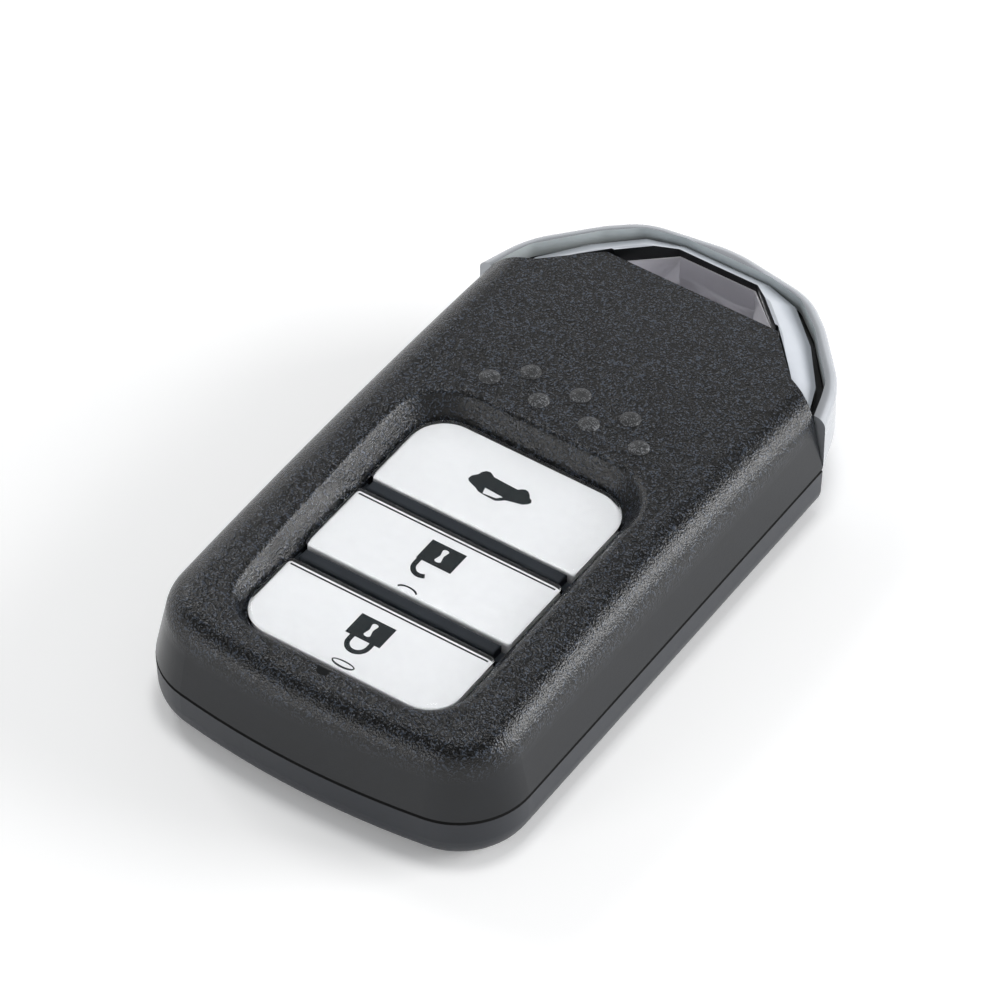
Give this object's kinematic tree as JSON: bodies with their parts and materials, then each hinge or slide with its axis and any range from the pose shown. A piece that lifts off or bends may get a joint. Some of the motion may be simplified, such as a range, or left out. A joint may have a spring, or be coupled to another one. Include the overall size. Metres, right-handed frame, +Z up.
{
  "type": "car key fob",
  "caption": "Remote car key fob with pressable lock, unlock and boot buttons, a coin cell inside and a pull-out emergency key whose bright head has a key-ring window.",
  "frame": {"origin": "centre of the bounding box at the back face, on the surface that the fob lies on", "axes": "+X across the fob, +Y along it to the key-ring end, +Z up through the buttons; with +Z up, +Y ahead and +X right, the lock button is nearest"},
  "size_m": [0.0384, 0.0708, 0.0142],
  "materials": {
    "shell_textured": "pebbled",
    "shell_satin": "satin",
    "bar_plastic": "gloss",
    "clear_plastic": "clear gloss",
    "light_plastic": "gloss",
    "mat_rubber": "matte",
    "board_laminate": "satin",
    "chip_plastic": "matte",
    "nickel_can": "satin",
    "capacitor_ceramic": "matte",
    "ferrite": "matte",
    "copper_wire": "enamelled",
    "inner_plastic": "satin",
    "gasket_rubber": "matte",
    "spring_steel": "bright",
    "pad_foam": "foam",
    "slider_plastic": "fine grain",
    "core_plastic": "gloss",
    "bright_trim": "satin chrome",
    "blade_steel": "brushed",
    "carrier_paint": "pearl",
    "plunger_plastic": "satin",
    "switch_plastic": "satin"
  },
  "bodies": {
    "case": {"front_cover": "shell_textured", "rear_cover": "shell_satin", "divider_bar_near": "bar_plastic", "divider_bar_far": "bar_plastic", "light_window": "clear_plastic", "status_light": "light_plastic", "keypad_mat": "mat_rubber", "circuit_board": "board_laminate", "control_chip": "chip_plastic", "radio_chip": "chip_plastic", "crystal": "nickel_can", "capacitors": "capacitor_ceramic", "aerial_core": "ferrite", "aerial_winding": "copper_wire", "inner_case": "inner_plastic", "gasket": "gasket_rubber", "coin_cell": "nickel_can", "battery_contact_positive": "spring_steel", "battery_contact_negative": "spring_steel", "battery_pad": "pad_foam", "lock_switch": "switch_plastic", "unlock_switch": "switch_plastic", "boot_switch": "switch_plastic"},
    "lock_button": {"lock_cap": "clear_plastic", "lock_carrier": "carrier_paint", "lock_plunger": "plunger_plastic"},
    "unlock_button": {"unlock_cap": "clear_plastic", "unlock_carrier": "carrier_paint", "unlock_plunger": "plunger_plastic"},
    "boot_button": {"boot_cap": "clear_plastic", "boot_carrier": "carrier_paint", "boot_plunger": "plunger_plastic"},
    "release": {"release_slider": "slider_plastic", "release_spring": "spring_steel"},
    "emergency_key": {"key_head_core": "core_plastic", "head_band": "bright_trim", "head_front_trim": "bright_trim", "head_rear_trim": "bright_trim", "window_sleeve": "bright_trim", "key_blade": "blade_steel", "blade_pin": "spring_steel"}
  },
  "joints": [
    {"name": "lock_press", "type": "slide", "parent": "case", "child": "lock_button", "axis": [0, 0, -1], "range_m": [0, 0.00035], "stiffness_N_per_m": 4000, "springref_m": -0.0002},
    {"name": "unlock_press", "type": "slide", "parent": "case", "child": "unlock_button", "axis": [0, 0, -1], "range_m": [0, 0.00035], "stiffness_N_per_m": 4000, "springref_m": -0.0002},
    {"name": "boot_press", "type": "slide", "parent": "case", "child": "boot_button", "axis": [0, 0, -1], "range_m": [0, 0.00035], "stiffness_N_per_m": 4000, "springref_m": -0.0002},
    {"name": "release_slide", "type": "slide", "parent": "case", "child": "release", "axis": [1, 0, 0], "range_m": [0, 0.002], "stiffness_N_per_m": 600, "springref_m": -0.001, "deforming": ["release_spring"]},
    {"name": "key_draw", "type": "slide", "parent": "case", "child": "emergency_key", "axis": [0, 1, 0], "range_m": [0, 0.048]}
  ]
}
